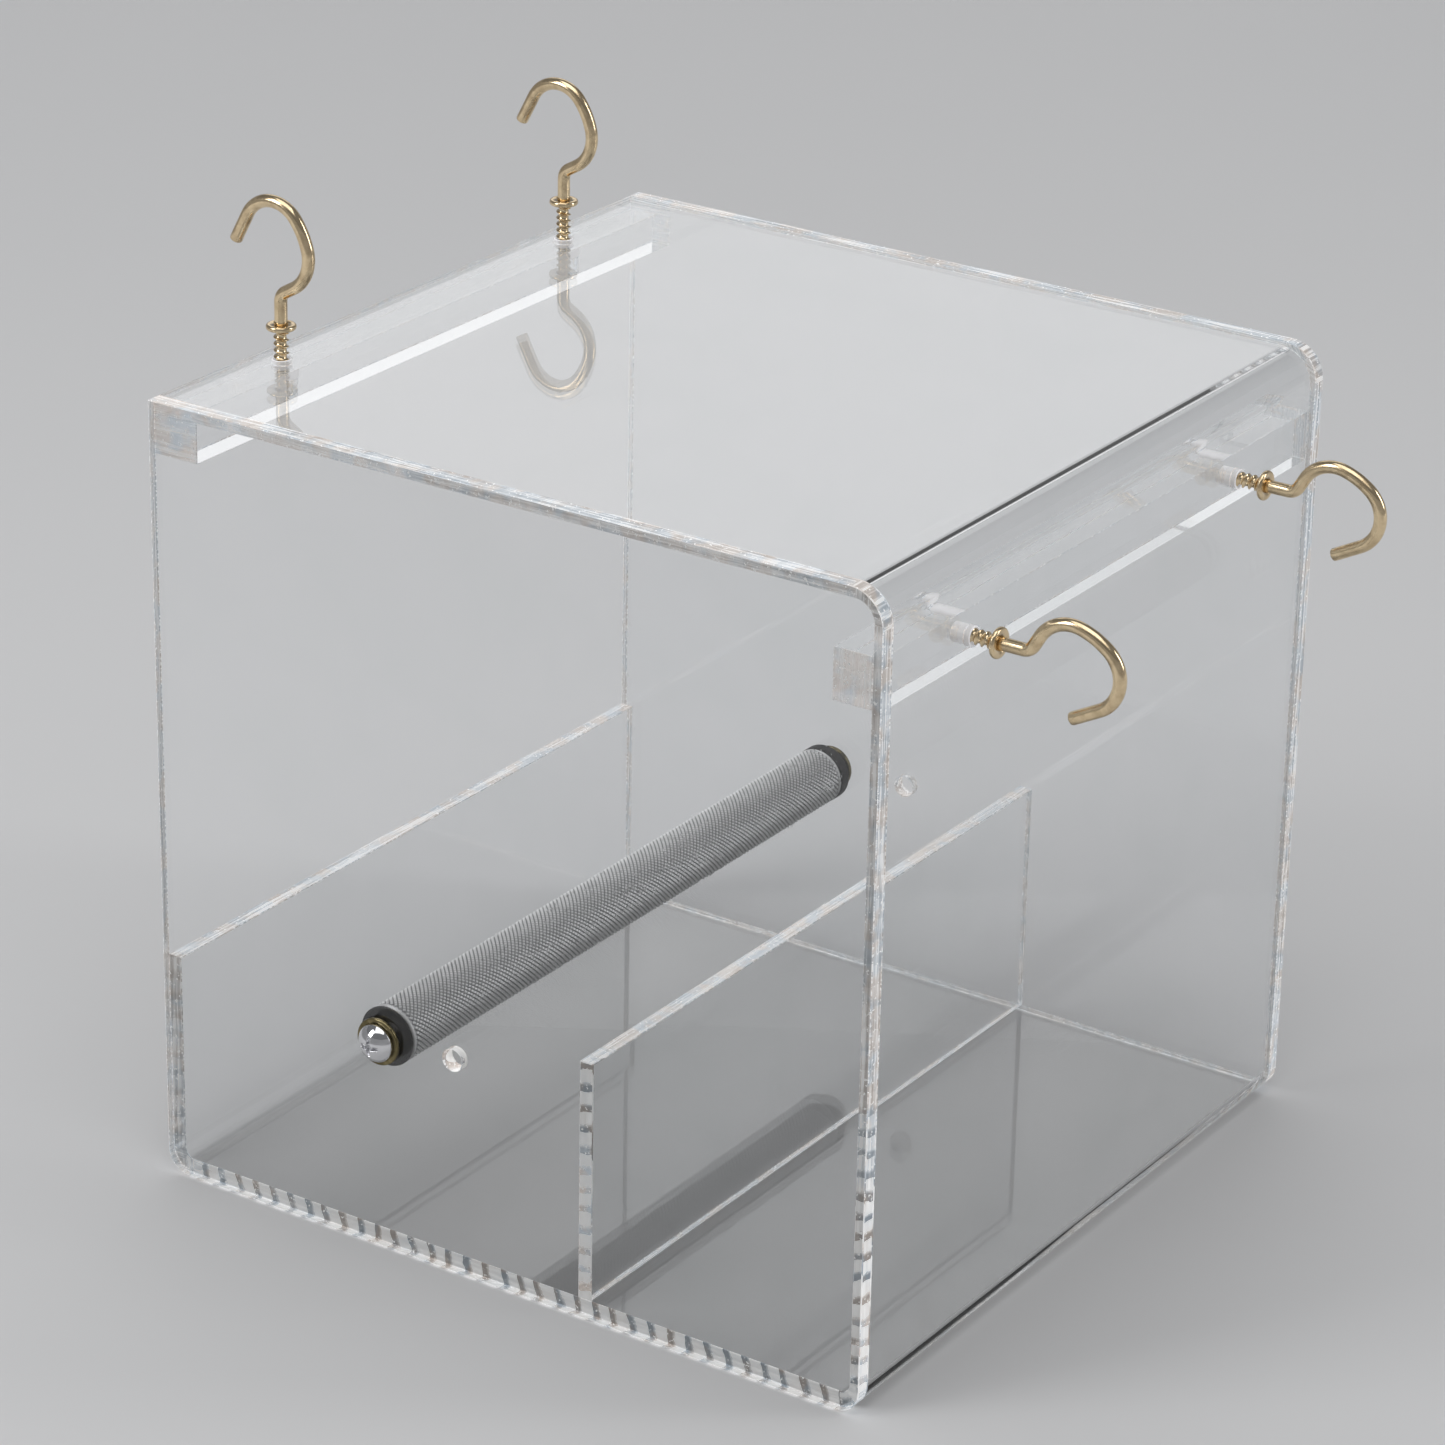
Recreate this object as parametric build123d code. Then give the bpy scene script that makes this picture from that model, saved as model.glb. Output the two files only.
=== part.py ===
from build123d import *
import math
import os

# Clear acrylic hang-on cage box, in millimetres, +Z up.
# The origin is the middle of the flat underside. The open entrance side faces -X,
# the wall that hangs on the cage bars faces +X, and the perch runs along Y.

# Box and sheet
BOX_W = 160.0          # X, entrance side to hook wall
BOX_D = 158.0          # Y, over both side panels
BOX_H = 160.0          # Z, underside to top face
SHEET_T = 3.0          # every flat piece is cut from 3 mm sheet
FLOOR_BEND_IN = 2.0    # inner radius of the two bends at the floor
TOP_BEND_IN = 4.0      # inner radius of the bend between top and hook wall
LIP_H = 46.2           # height of the short wall under the entrance

# Divider between the entrance compartment and the hook-wall compartment
DIVIDER_X = 18.5
DIVIDER_H = 49.5

# Square bars that the hooks are screwed into
BAR_WIDE = 10.0
BAR_THICK = 8.0
WALL_BAR_Z = 142.3     # middle of the wall bar

# Cup hooks
WIRE_D = 2.5
SHANK = 5.4            # straight wire from the collar underside
THREAD_CREST_D = 3.0
THREAD_ROOT_D = 2.0
THREAD_PITCH = 1.3
THREAD_LEN = 14.5      # collar underside to the point
COLLAR_D = 5.8
COLLAR_T = 1.1
THREAD_END_GAP = 0.5   # bore left past the point of a hook
TOP_HOOK_INSET = 5.5   # top hooks, in from the entrance edge
# Each hook: the face it stands on, its place along Y, and the thread showing under its collar
HOOKS = {
    "top_near": ("top", -46.5, 5.8),
    "top_far": ("top", 44.5, 7.1),
    "wall_near": ("wall", -48.8, 4.4),
    "wall_far": ("wall", 47.0, 4.9),
}

# White bushes that the hook threads bite into
BUSH_D = 3.7
BUSH_LEN = {"top": 5.5, "wall": 10.0}
FIT_GAP = 0.05         # radial running clearance of a thread in its bush

# Perch and its fixings
PERCH_X = -27.5
PERCH_Z = 44.0
PERCH_D = 12.0
PERCH_CHAMFER = 0.5
SPARE_HOLE_X = -10.8   # second pair of holes, for moving the perch inwards
SPARE_HOLE_Z = 44.8
PANEL_HOLE_D = 4.3
SIDE_GAP = 0.2         # running clearance each side of a panel
SIDES = {"near": -1, "far": 1}
PAD_T = {"near": 0.6, "far": 2.6}
SCREW_D = 4.0
SCREW_LEN = 14.0
HEAD_D = 7.6
HEAD_H = 3.0
HEAD_RIM_H = 0.7
CROSS_LEN = 4.0
CROSS_WIDE = 0.9
CROSS_DEEP = 1.5
WASHER_D = 9.5
WASHER_T = 0.9
WASHER_BORE_D = 4.3

HALF_W = BOX_W / 2
HALF_D = BOX_D / 2
INNER_D = BOX_D - 2 * SHEET_T
SEE_THROUGH = Color(0.85, 0.92, 0.95, 0.35)
BRASS = Color(0.80, 0.62, 0.30)
STEEL = Color(0.75, 0.76, 0.78)
WHITE = Color(0.95, 0.95, 0.95)
RUBBER = Color(0.05, 0.05, 0.05)


def rounded_outline(inset):
    """Side outline of the box: three bent corners and one square corner, top left."""
    wide = BOX_W - 2 * inset
    high = BOX_H - 2 * inset
    outline = Pos(0, BOX_H / 2) * Rectangle(wide, high)
    floor_radius = FLOOR_BEND_IN + SHEET_T - inset
    top_radius = TOP_BEND_IN + SHEET_T - inset
    low = outline.vertices().sort_by(Axis.Y)[:2]
    outline = fillet(low, floor_radius)
    top_right = outline.vertices().sort_by(Axis.X)[-2:].sort_by(Axis.Y)[-1]
    return fillet(top_right, top_radius)


def bent_shell():
    """One sheet bent three times: top, hook wall, floor and the short lip."""
    section = rounded_outline(0) - rounded_outline(SHEET_T)
    gap_high = BOX_H - SHEET_T - LIP_H
    gap = Pos(-HALF_W + SHEET_T / 2, LIP_H + gap_high / 2) * Rectangle(SHEET_T, gap_high)
    shell = extrude(Plane.XZ * (section - gap), amount=INNER_D / 2, both=True)
    for hook in HOOKS:
        shell -= bore_down(hook_seat(hook), BUSH_D, SHEET_T)
    return shell


def side_panel(side):
    """Full side panel glued on the edges of the bent sheet, side -1 near or +1 far."""
    outer_y = side * HALF_D
    panel = extrude(Plane.XZ.offset(-outer_y) * rounded_outline(0), amount=side * SHEET_T)
    for x, z in ((PERCH_X, PERCH_Z), (SPARE_HOLE_X, SPARE_HOLE_Z)):
        hole = Cylinder(PANEL_HOLE_D / 2, 3 * SHEET_T, rotation=(90, 0, 0))
        panel -= Pos(x, outer_y, z) * hole
    return panel


def divider():
    return Pos(DIVIDER_X, 0, SHEET_T + DIVIDER_H / 2) * Box(SHEET_T, INNER_D, DIVIDER_H)


def hook_seat(hook):
    """Frame of a hook where its thread enters: Z out of the box, X the way the wire kinks."""
    face, y, _ = HOOKS[hook]
    if face == "top":
        origin = (-HALF_W + TOP_HOOK_INSET, y, BOX_H)
        return Plane(origin=origin, x_dir=(1, 0, 0), z_dir=(0, 0, 1))
    return Plane(origin=(HALF_W, y, WALL_BAR_Z), x_dir=(0, 0, 1), z_dir=(1, 0, 0))


def bore_down(seat, diameter, depth):
    """Round bore from a seat into the box."""
    into = (Align.CENTER, Align.CENTER, Align.MAX)
    return seat * Cylinder(diameter / 2, depth, align=into)


def bar_bores(bar, bar_face):
    """The bar less the stepped bores for its bushes and thread points."""
    for hook, (face, _, standoff) in HOOKS.items():
        if face == bar_face:
            seat = hook_seat(hook)
            bar -= bore_down(seat, BUSH_D, BUSH_LEN[face])
            point = THREAD_LEN - standoff + THREAD_END_GAP
            bar -= bore_down(seat, THREAD_CREST_D + 2 * FIT_GAP, point)
    return bar


def top_hook_bar():
    """Bar under the top sheet along the entrance edge."""
    x = -HALF_W + BAR_WIDE / 2
    z = BOX_H - SHEET_T - BAR_THICK / 2
    return bar_bores(Pos(x, 0, z) * Box(BAR_WIDE, INNER_D, BAR_THICK), "top")


def wall_hook_bar():
    """Bar inside the hook wall, just under the top bend."""
    x = HALF_W - SHEET_T - BAR_THICK / 2
    return bar_bores(Pos(x, 0, WALL_BAR_Z) * Box(BAR_THICK, INNER_D, BAR_WIDE), "wall")


def hook_path():
    """Centre line of the hook wire from the collar underside to the free end."""
    shank = Line((0, 0, 0), (0, 0, SHANK))
    kink = turn(shank, -2.5, 60)
    rise = ahead(kink, 2.2)
    belly = turn(rise, 7.2, 75)
    back = turn(belly, 15.0, 23)
    crown = turn(back, 6.8, 114)
    tip = ahead(crown, 6.2)
    return Wire([shank, kink, rise, belly, back, crown, tip])


def turn(before, radius, degrees):
    """Arc in the XZ plane that carries on from an edge, to the left for a radius above 0."""
    start, along = before @ 1, before % 1
    side = math.copysign(1, radius)
    to_centre = Vector(-along.Z, 0, along.X) * radius
    centre = start + to_centre
    half, full = (
        centre - to_centre.rotate(Axis.Y, -side * degrees * share) for share in (0.5, 1.0)
    )
    return ThreePointArc(start, half, full)


def ahead(before, length):
    """Straight run that carries on from an edge."""
    return Line(before @ 1, before @ 1 + (before % 1) * length)


def hook_thread():
    """Coarse screw thread under the collar, as stacked ridges that end in a point."""
    root, crest = THREAD_ROOT_D / 2, THREAD_CREST_D / 2
    taper = 3 * THREAD_PITCH
    ridges = int((THREAD_LEN - taper) / THREAD_PITCH)
    outline = [(0, 0), (root, 0)]
    for ridge in range(ridges):
        top = -ridge * THREAD_PITCH
        outline += [(root, top - 0.4 * THREAD_PITCH), (crest, top - 0.7 * THREAD_PITCH)]
        outline += [(root, top - THREAD_PITCH)]
    outline += [(root, -THREAD_LEN + taper), (0, -THREAD_LEN)]
    face = make_face(Plane.XZ * Polyline(*outline, close=True))
    return revolve(face, Axis.Z)


def cup_hook():
    """Bent brass wire with its screw thread, standing on its collar underside."""
    path = hook_path()
    wire = sweep(Plane.XY * Circle(WIRE_D / 2), path=path)
    return wire + hook_thread()


def hook_collar():
    """Round-edged washer pressed on the shank."""
    up = (Align.CENTER, Align.CENTER, Align.MIN)
    collar = Cylinder(COLLAR_D / 2, COLLAR_T, align=up)
    collar = fillet(collar.edges().filter_by(GeomType.CIRCLE), 0.45 * COLLAR_T)
    return collar - Cylinder(WIRE_D / 2, COLLAR_T, align=up)


def hook_bush(length):
    """White bush, pressed in flush with the outer face."""
    into = (Align.CENTER, Align.CENTER, Align.MAX)
    bore = THREAD_CREST_D / 2 + FIT_GAP
    return Cylinder(BUSH_D / 2, length, align=into) - Cylinder(bore, length, align=into)


def rod_end(name):
    """Distance of one end of the rod from the middle of the box."""
    return INNER_D / 2 - SIDE_GAP - PAD_T[name]


def perch_rod():
    """Solid rod between the pads, tapped at both ends."""
    into = (Align.CENTER, Align.CENTER, Align.MAX)
    rod = Cylinder(PERCH_D / 2, rod_end("near") + rod_end("far"), align=into)
    rod = chamfer(rod.edges().filter_by(GeomType.CIRCLE), PERCH_CHAMFER)
    rod = perch_side("near", rod_end("near")) * rod
    for name in SIDES:
        tapped = SCREW_LEN - WASHER_T - SHEET_T - 2 * SIDE_GAP - PAD_T[name]
        rod -= perch_side(name, rod_end(name)) * Cylinder(SCREW_D / 2, tapped, align=into)
    return rod


def ring(diameter, bore, thick):
    up = (Align.CENTER, Align.CENTER, Align.MIN)
    return Cylinder(diameter / 2, thick, align=up) - Cylinder(bore / 2, thick, align=up)


def perch_side(name, distance):
    """Frame on the perch axis, Z pointing out of the box, at a distance from the middle."""
    side = SIDES[name]
    origin = (PERCH_X, side * distance, PERCH_Z)
    return Plane(origin=origin, x_dir=(side, 0, 0), z_dir=(0, side, 0))


def perch_pad(name):
    """Rubber ring between the rod and the panel."""
    return perch_side(name, rod_end(name)) * ring(PERCH_D, SCREW_D, PAD_T[name])


def screw_washer(name):
    face = HALF_D + SIDE_GAP
    return perch_side(name, face) * ring(WASHER_D, WASHER_BORE_D, WASHER_T)


def perch_screw(name):
    """Dome-headed cross-slot screw that holds one end of the rod."""
    rim = HEAD_D / 2
    outline = Polyline((0, 0), (rim, 0), (rim, HEAD_RIM_H))
    rise = HEAD_H - HEAD_RIM_H
    dome_r = (rim**2 + rise**2) / (2 * rise)
    lean = math.asin(rim / dome_r) / 2
    middle = (dome_r * math.sin(lean), HEAD_H - dome_r * (1 - math.cos(lean)))
    dome = ThreePointArc((rim, HEAD_RIM_H), middle, (0, HEAD_H))
    face = make_face(Plane.XZ * (outline + dome + Line((0, HEAD_H), (0, 0))))
    screw = revolve(face, Axis.Z)
    screw += Cylinder(SCREW_D / 2, SCREW_LEN, align=(Align.CENTER, Align.CENTER, Align.MAX))
    for length, wide in ((CROSS_LEN, CROSS_WIDE), (CROSS_WIDE, CROSS_LEN)):
        screw -= Pos(0, 0, HEAD_H) * Box(length, wide, 2 * CROSS_DEEP)
    return perch_side(name, HALF_D + SIDE_GAP + WASHER_T) * screw


def build_parts():
    """Every piece by node name, with its display colour."""
    parts = {
        "bent_shell": (bent_shell(), SEE_THROUGH),
        "near_side_panel": (side_panel(SIDES["near"]), SEE_THROUGH),
        "far_side_panel": (side_panel(SIDES["far"]), SEE_THROUGH),
        "divider": (divider(), SEE_THROUGH),
        "top_hook_bar": (top_hook_bar(), SEE_THROUGH),
        "wall_hook_bar": (wall_hook_bar(), SEE_THROUGH),
        "perch_rod": (perch_rod(), STEEL),
    }
    for name in SIDES:
        parts[f"perch_pad_{name}"] = (perch_pad(name), RUBBER)
        parts[f"perch_screw_{name}"] = (perch_screw(name), STEEL)
        parts[f"screw_washer_{name}"] = (screw_washer(name), BRASS)
    wire, collar = cup_hook(), hook_collar()
    for hook, (face, _, standoff) in HOOKS.items():
        seat = hook_seat(hook)
        collar_seat = seat.offset(standoff)
        parts[f"cup_hook_{hook}"] = (collar_seat * wire, BRASS)
        parts[f"hook_collar_{hook}"] = (collar_seat * collar, BRASS)
        parts[f"hook_bush_{hook}"] = (seat * hook_bush(BUSH_LEN[face]), WHITE)
    return parts


os.makedirs("parts", exist_ok=True)
for node, (shape, colour) in build_parts().items():
    shape.color = colour
    shape.label = node
    export_step(shape, f"parts/{node}.step")
    print(node, len(shape.solids()), round(shape.volume, 1))
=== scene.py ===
import math

import bmesh
import bpy
from mathutils import Matrix, Quaternion, Vector


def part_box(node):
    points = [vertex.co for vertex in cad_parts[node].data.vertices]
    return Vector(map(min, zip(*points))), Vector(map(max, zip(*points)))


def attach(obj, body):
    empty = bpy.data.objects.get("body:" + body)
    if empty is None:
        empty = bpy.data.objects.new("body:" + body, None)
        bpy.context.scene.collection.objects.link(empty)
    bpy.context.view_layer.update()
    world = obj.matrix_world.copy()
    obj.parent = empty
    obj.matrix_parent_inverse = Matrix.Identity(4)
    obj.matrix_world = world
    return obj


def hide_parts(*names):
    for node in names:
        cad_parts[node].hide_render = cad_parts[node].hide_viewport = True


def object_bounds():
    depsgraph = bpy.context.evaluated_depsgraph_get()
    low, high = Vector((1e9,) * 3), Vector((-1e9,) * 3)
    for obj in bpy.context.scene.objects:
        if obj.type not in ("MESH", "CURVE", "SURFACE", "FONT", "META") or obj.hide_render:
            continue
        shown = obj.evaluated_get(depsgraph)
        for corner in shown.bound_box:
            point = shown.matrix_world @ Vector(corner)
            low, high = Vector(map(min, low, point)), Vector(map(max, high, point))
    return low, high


MM = 0.001

# Camera: its place, the way it looks, its roll and its lens on a 36 mm sensor
CAMERA_AT = (0.4957, -0.7561, 0.4806)
CAMERA_AZIMUTH = 33.48
CAMERA_ELEVATION = 23.46
CAMERA_ROLL = 1.13
CAMERA_LENS = 127.2

# Acrylic sheet, in metres
BOND_GAP = 0.03 * MM       # glue line between two glued faces
EDGE_BREAK = 0.18 * MM     # tiny chamfer along every cut edge
FLOOR_BEND_IN = 2.0 * MM
TOP_BEND_IN = 4.0 * MM
LIP_TOP = 46.2 * MM
SPARE_HOLE_AHEAD = 16.7 * MM
SPARE_HOLE_ABOVE = 0.8 * MM
BEND_STEPS = 20

# Acrylic as a material
ACRYLIC_IOR = 1.49
EDGE_PAINTED_GLOW = 0.32           # painted glow: emission that brightens the cut edges, as if light were piped out of the sheet
# painted glow: emission that brightens the white bushes, which are no lamp
BUSH_PAINTED_GLOW = 0.32
SAW_SCALE = 78.0           # a wave texture at this scale repeats every 4 mm
SAW_TOP = (0.055, 0.075)   # Z between which the saw teeth fade out upwards,
SAW_NEAR = (-0.070, -0.060)  # Y between which they fade away from the near side,
SAW_LIP = (-0.078, -0.070)   # and X between which they fade out on the lip

# Bores, in millimetres
PANEL_HOLE_R = 2.15
BUSH_R = 1.85
THREAD_BORE_R = 1.55
THROUGH_SHEET = 4.0
BUSH_LEN = {"top": 5.5, "wall": 10.0}
BORE_LEN = {"top": 9.2, "wall": 10.6}

# Cup hook, in millimetres
WIRE_R = 1.25
SHANK = 5.4
THREAD_ROOT_R = 1.0
THREAD_CREST_R = 1.5
THREAD_PITCH = 1.3
THREAD_LEN = 14.5
THREAD_WELD = 0.002
COLLAR_R = 2.9
COLLAR_T = 1.1
COLLAR_ROUND = 0.48

# The hook's wire from the collar's underside to its free end: a radius and the degrees
# of each bend, and no radius and the length of each straight run
HOOK_RUNS = ((None, SHANK), (2.5, 60), (None, 2.2), (7.2, -75), (15.0, -23), (6.8, -114),
             (None, 6.2))

# Height of the thread over its root, at shares of one pitch
THREAD_SHAPE = ((0.0, 0.0), (0.28, 0.0), (0.46, 0.85), (0.52, 1.0), (0.58, 0.85), (0.74, 0.0))

# Perch, in millimetres
PERCH_R = 6.0
KNURL_AROUND = 36
KNURL_PITCH = 1.15         # from one diamond to the next along the rod
KNURL_DEEP = 0.32
KNURL_FLAT = 0.50          # share of a diamond left flat at its top
PLAIN_END = 1.0
TAPPED_R = 2.0
TAPPED_DEEP = 7
PAD_R = 6.0
PAD_HOLE_R = 2.05
WASHER_R = 4.75
WASHER_HOLE_R = 2.15
WASHER_T = 0.9

# Perch screw, in millimetres
HEAD_R = 3.8
HEAD_EDGE = 0.7            # height of the head's upright rim
HEAD_DOME = 2.3            # height of the dome over that rim
CROSS_DEEP = 1.3
CROSS_REACH = 2.0
CROSS_HALF = 0.55          # half the width of a slot at the middle
SCREW_R = 2.0
SCREW_LEN = 10.9

# Studio, in metres
FLOOR_FLAT = 2.0
FLOOR_CURVE = 0.8
WALL_HIGH = 0.6
FLOOR_GAP = 0.0002
AIM_HEIGHT = 0.08
AIR_STRENGTH = 0.20

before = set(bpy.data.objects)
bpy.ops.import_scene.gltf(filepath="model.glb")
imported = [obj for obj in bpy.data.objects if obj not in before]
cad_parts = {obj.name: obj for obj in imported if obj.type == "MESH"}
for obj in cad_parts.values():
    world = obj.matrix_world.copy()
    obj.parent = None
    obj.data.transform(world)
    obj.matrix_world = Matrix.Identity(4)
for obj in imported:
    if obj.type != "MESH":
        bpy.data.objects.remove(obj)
cad_lo, cad_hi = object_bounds()


def box_of(node):
    """A CAD node's lowest corner, highest corner and middle."""
    lo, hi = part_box(node)
    return lo, hi, (lo + hi) / 2


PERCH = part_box("perch_rod")
PERCH = (PERCH[0] + PERCH[1]) / 2
panel_lo, panel_hi, _ = box_of("near_side_panel")
SHEET_T = panel_hi.y - panel_lo.y


# ---------------------------------------------------------------- materials

def add(tree, kind, **values):
    """A shader node with its properties and inputs set by name; spaces in names are underscores."""
    node = tree.nodes.new("ShaderNode" + kind)
    for key, value in values.items():
        name = key.replace("_", " ")
        if hasattr(node, key):
            setattr(node, key, value)
        elif hasattr(value, "is_output"):
            tree.links.new(value, node.inputs[name])
        else:
            node.inputs[name].default_value = value
    return node


def wire(tree, source, target):
    tree.links.new(source, target)


def shader(name):
    """A new material with one Principled shader."""
    material = bpy.data.materials.new(name)
    material.use_nodes = True
    tree = material.node_tree
    tree.nodes.clear()
    output = add(tree, "OutputMaterial")
    surface = add(tree, "BsdfPrincipled")
    wire(tree, surface.outputs["BSDF"], output.inputs["Surface"])
    return material, tree, surface, output


def place(tree):
    """Object coordinates, which are the part's own metres."""
    return add(tree, "TexCoord").outputs["Object"]


def noise(tree, where, scale, detail=4.0, rough=0.55, distortion=0.0):
    node = add(tree, "TexNoise", Scale=scale, Detail=detail, Roughness=rough,
               Distortion=distortion)
    wire(tree, where, node.inputs["Vector"])
    return node.outputs["Fac"]


def ramp(tree, value, low, high, out_low=0.0, out_high=1.0):
    node = add(tree, "MapRange", From_Min=low, From_Max=high, To_Min=out_low, To_Max=out_high)
    wire(tree, value, node.inputs["Value"])
    return node.outputs["Result"]


def blend_colour(tree, factor, one, two):
    node = add(tree, "Mix", data_type="RGBA")
    wire(tree, factor, node.inputs["Factor"])
    for key, colour in ((6, one), (7, two)):
        if hasattr(colour, "is_output"):
            wire(tree, colour, node.inputs[key])
        else:
            node.inputs[key].default_value = (*colour, 1.0)
    return node.outputs[2]


def maths(tree, operation, one, two):
    node = add(tree, "Math", operation=operation)
    wire(tree, one, node.inputs[0])
    wire(tree, two, node.inputs[1])
    return node.outputs[0]


def bump(tree, surface, height, distance, strength, before=None):
    node = add(tree, "Bump", Strength=strength, Distance=distance)
    wire(tree, height, node.inputs["Height"])
    if before:
        wire(tree, before, node.inputs["Normal"])
    wire(tree, node.outputs["Normal"], surface.inputs["Normal"])
    return node.outputs["Normal"]


def let_lamps_through(tree, surface, output, tint):
    """Lamps reach what is behind the sheet; a grazing pass through it stays a little darker."""
    shade = add(tree, "LayerWeight", Blend=0.35).outputs["Facing"]
    dim = blend_colour(tree, shade, (tint, tint, tint), (0.45 * tint,) * 3)
    clear = add(tree, "BsdfTransparent")
    wire(tree, dim, clear.inputs["Color"])
    path = add(tree, "LightPath")
    mix = add(tree, "MixShader")
    wire(tree, path.outputs["Is Shadow Ray"], mix.inputs["Fac"])
    wire(tree, surface.outputs["BSDF"], mix.inputs[1])
    wire(tree, clear.outputs["BSDF"], mix.inputs[2])
    wire(tree, mix.outputs["Shader"], output.inputs["Surface"])


def acrylic_face():
    """Polished cast sheet: faint waviness, hairline scratches and smudges."""
    material, tree, surface, output = shader("acrylic_face")
    where = place(tree)
    surface.inputs["IOR"].default_value = ACRYLIC_IOR
    surface.inputs["Transmission Weight"].default_value = 1.0
    surface.inputs["Roughness"].default_value = 0.0
    smudge = ramp(tree, noise(tree, where, 30.0, 6.0, 0.65, 0.6), 0.45, 0.75)
    wire(tree, blend_colour(tree, smudge, (0.985, 0.99, 0.995), (0.955, 0.968, 0.97)),
         surface.inputs["Base Color"])
    wavy = bump(tree, surface, noise(tree, where, 9.0, 1.0), 0.25 * MM, 0.12)
    fine = add(tree, "TexNoise", Scale=900.0, Detail=1.0)
    stretch = add(tree, "Mapping", Vector=where)
    stretch.inputs["Rotation"].default_value = (0.4, 0.7, 0.3)
    stretch.inputs["Scale"].default_value = (1.0, 0.02, 1.0)
    wire(tree, stretch.outputs["Vector"], fine.inputs["Vector"])
    hair = ramp(tree, fine.outputs["Fac"], 0.66, 0.72)
    bump(tree, surface, hair, 0.01 * MM, 0.06, wavy)
    let_lamps_through(tree, surface, output, 0.95)
    return material


def acrylic_edge(run, bite):
    """Cut edge along one axis: saw teeth low on the near side, scraped smooth elsewhere.

    The teeth stand a few millimetres apart across the run, each frosted on one flank.
    """
    material, tree, surface, output = shader("acrylic_edge_" + run.lower())
    where = place(tree)
    surface.inputs["IOR"].default_value = ACRYLIC_IOR
    slant = add(tree, "Mapping", Vector=where)
    slant.inputs["Rotation"].default_value = (0.22, 0.22, 0.22)
    saw = add(tree, "TexWave", wave_type="BANDS", bands_direction=run, wave_profile="SAW",
              Scale=SAW_SCALE, Distortion=2.6, Detail=3.0)
    saw.inputs["Detail Scale"].default_value = 1.6
    wire(tree, slant.outputs["Vector"], saw.inputs["Vector"])
    teeth = saw.outputs["Fac"]
    chips = noise(tree, where, 1400.0, 4.0, 0.6)
    at = add(tree, "SeparateXYZ", Vector=where).outputs
    wander = ramp(tree, noise(tree, where, 24.0, 2.0), 0.3, 0.7, -0.03, 0.03)
    low = ramp(tree, maths(tree, "ADD", at["Z"], wander), *SAW_TOP, bite, 0.12 * bite)
    near = ramp(tree, at["Y"], *SAW_NEAR, 1.0, 0.15)
    past_lip = ramp(tree, at["X"], *SAW_LIP, 0.2, 1.0)
    sawn = maths(tree, "MULTIPLY", maths(tree, "MULTIPLY", low, near), past_lip)
    along = add(tree, "Mapping", Vector=where)
    along.inputs["Scale"].default_value = tuple(0.04 if axis == run else 1.0 for axis in "XYZ")
    streaks = ramp(tree, noise(tree, along.outputs["Vector"], 1500.0, 3.0), 0.42, 0.62)
    smooth = ramp(tree, streaks, 0.0, 1.0, 0.15, 0.75)
    rough = maths(tree, "MULTIPLY", ramp(tree, teeth, 0.25, 0.45),
                  ramp(tree, streaks, 0.0, 1.0, 0.7, 1.0))
    frost = add(tree, "Mix")
    wire(tree, sawn, frost.inputs["Factor"])
    wire(tree, smooth, frost.inputs[2])
    wire(tree, rough, frost.inputs[3])
    frost = maths(tree, "MAXIMUM", frost.outputs[0], ramp(tree, chips, 0.58, 0.66))
    wire(tree, ramp(tree, frost, 0.0, 1.0, 0.66, 0.05), surface.inputs["Transmission Weight"])
    tint = blend_colour(tree, ramp(tree, noise(tree, where, 190.0, 2.0), 0.42, 0.58),
                        (0.76, 0.88, 1.0), (1.0, 0.87, 0.78))
    wire(tree, blend_colour(tree, frost, tint, (0.99, 0.99, 0.985)),
         surface.inputs["Base Color"])
    # Painted glow: the emission colour is white where the edge is frosted and a faint copy of the
    # tint elsewhere, so the cut edges glow though they are no lamp
    dim = blend_colour(tree, ramp(tree, tint, 0.0, 1.0, 0.0, 0.3), (0.0, 0.0, 0.0), tint)
    wire(tree, blend_colour(tree, frost, dim, (1.0, 1.0, 0.99)),
         surface.inputs["Emission Color"])
    surface.inputs["Emission Strength"].default_value = EDGE_PAINTED_GLOW
    wire(tree, ramp(tree, frost, 0.0, 1.0, 0.05, 0.38), surface.inputs["Roughness"])
    ridges = bump(tree, surface, maths(tree, "MULTIPLY", teeth, sawn), 0.5 * MM, 0.9)
    lines = bump(tree, surface, streaks, 0.05 * MM, 0.5, ridges)
    bump(tree, surface, chips, 0.05 * MM, 0.5, lines)
    let_lamps_through(tree, surface, output, 0.88)
    return material


def brass():
    """Polished brass-plated wire with drawing lines and faint tarnish."""
    material, tree, surface, _ = shader("brass_wire")
    where = place(tree)
    surface.inputs["Metallic"].default_value = 1.0
    tarnish = ramp(tree, noise(tree, where, 420.0, 5.0, 0.6), 0.42, 0.72)
    wire(tree, blend_colour(tree, tarnish, (0.84, 0.67, 0.43), (0.58, 0.44, 0.27)),
         surface.inputs["Base Color"])
    wire(tree, ramp(tree, tarnish, 0.0, 1.0, 0.14, 0.30), surface.inputs["Roughness"])
    bump(tree, surface, noise(tree, where, 900.0, 3.0), 0.02 * MM, 0.4)
    return material


def steel(name, colour, low, high, grain):
    """Bare metal with a fine grain."""
    material, tree, surface, _ = shader(name)
    where = place(tree)
    surface.inputs["Metallic"].default_value = 1.0
    mottle = noise(tree, where, grain, 4.0)
    dull = tuple(0.82 * c for c in colour)
    wire(tree, blend_colour(tree, mottle, colour, dull), surface.inputs["Base Color"])
    wire(tree, ramp(tree, mottle, 0.3, 0.7, low, high), surface.inputs["Roughness"])
    bump(tree, surface, noise(tree, where, 4 * grain, 2.0), 0.01 * MM, 0.3)
    return material


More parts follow.
